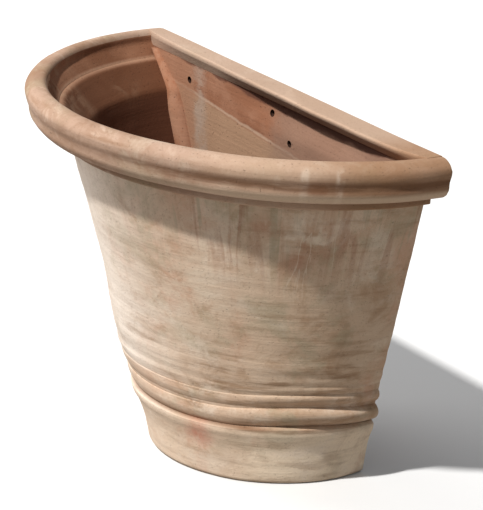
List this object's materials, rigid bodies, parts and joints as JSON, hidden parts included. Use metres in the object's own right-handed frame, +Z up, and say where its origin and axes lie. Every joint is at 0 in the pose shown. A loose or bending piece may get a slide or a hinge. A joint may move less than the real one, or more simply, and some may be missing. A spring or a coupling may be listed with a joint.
{
  "type": "half-round terracotta wall planter",
  "caption": "Unglazed half-round planter with a flat leaning back, a thick rolled rim, turned bands at the waist, a flared foot, a drain hole and small tie holes in the back.",
  "frame": {"origin": "centre of the outer box on the ground, under the middle of the planter", "axes": "+Z up, the round front faces -Y, the flat back faces +Y, +X is the planter's width to the right seen from the front"},
  "size_m": [0.502, 0.2885, 0.357],
  "materials": {
    "terracotta": "unglazed, matte, weathered with pale salt bloom"
  },
  "bodies": {
    "root": {"base_slab": "terracotta", "foot_wall": "terracotta", "front_wall": "terracotta", "back_slab": "terracotta", "rim_roll": "terracotta", "back_rim_strip": "terracotta", "collar_band": "terracotta", "waist_bead": "terracotta", "waist_ridge": "terracotta", "left_seam_coil": "terracotta", "right_seam_coil": "terracotta", "base_seam_coil": "terracotta"}
  },
  "joints": []
}
